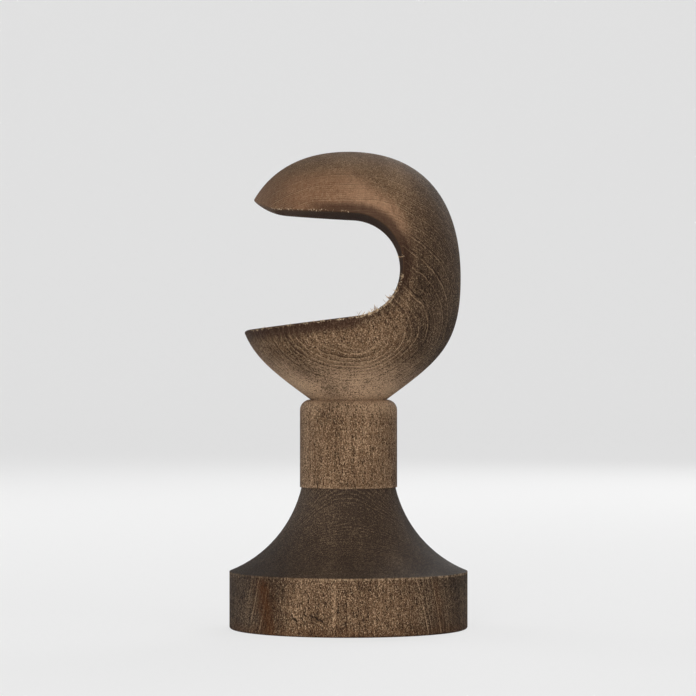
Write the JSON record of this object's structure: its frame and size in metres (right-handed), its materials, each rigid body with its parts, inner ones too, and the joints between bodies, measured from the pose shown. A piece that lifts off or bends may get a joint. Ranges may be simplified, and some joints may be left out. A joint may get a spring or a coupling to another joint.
{
  "type": "curtain rod bracket",
  "caption": "Turned wooden open bracket for a round curtain rod: round wall base, cove, neck and an oval head with a side-opening rod saddle.",
  "frame": {"origin": "centre of the flat wall face at the foot of the base, on the turning axis", "axes": "+Z along the turning axis away from the wall, -X towards the saddle's open side, Y along the curtain rod"},
  "size_m": [0.07, 0.07, 0.14],
  "materials": {
    "stained_wood": "walnut-coloured stain, matt, with open pores"
  },
  "bodies": {
    "root": {"bracket": "stained_wood"}
  },
  "joints": []
}
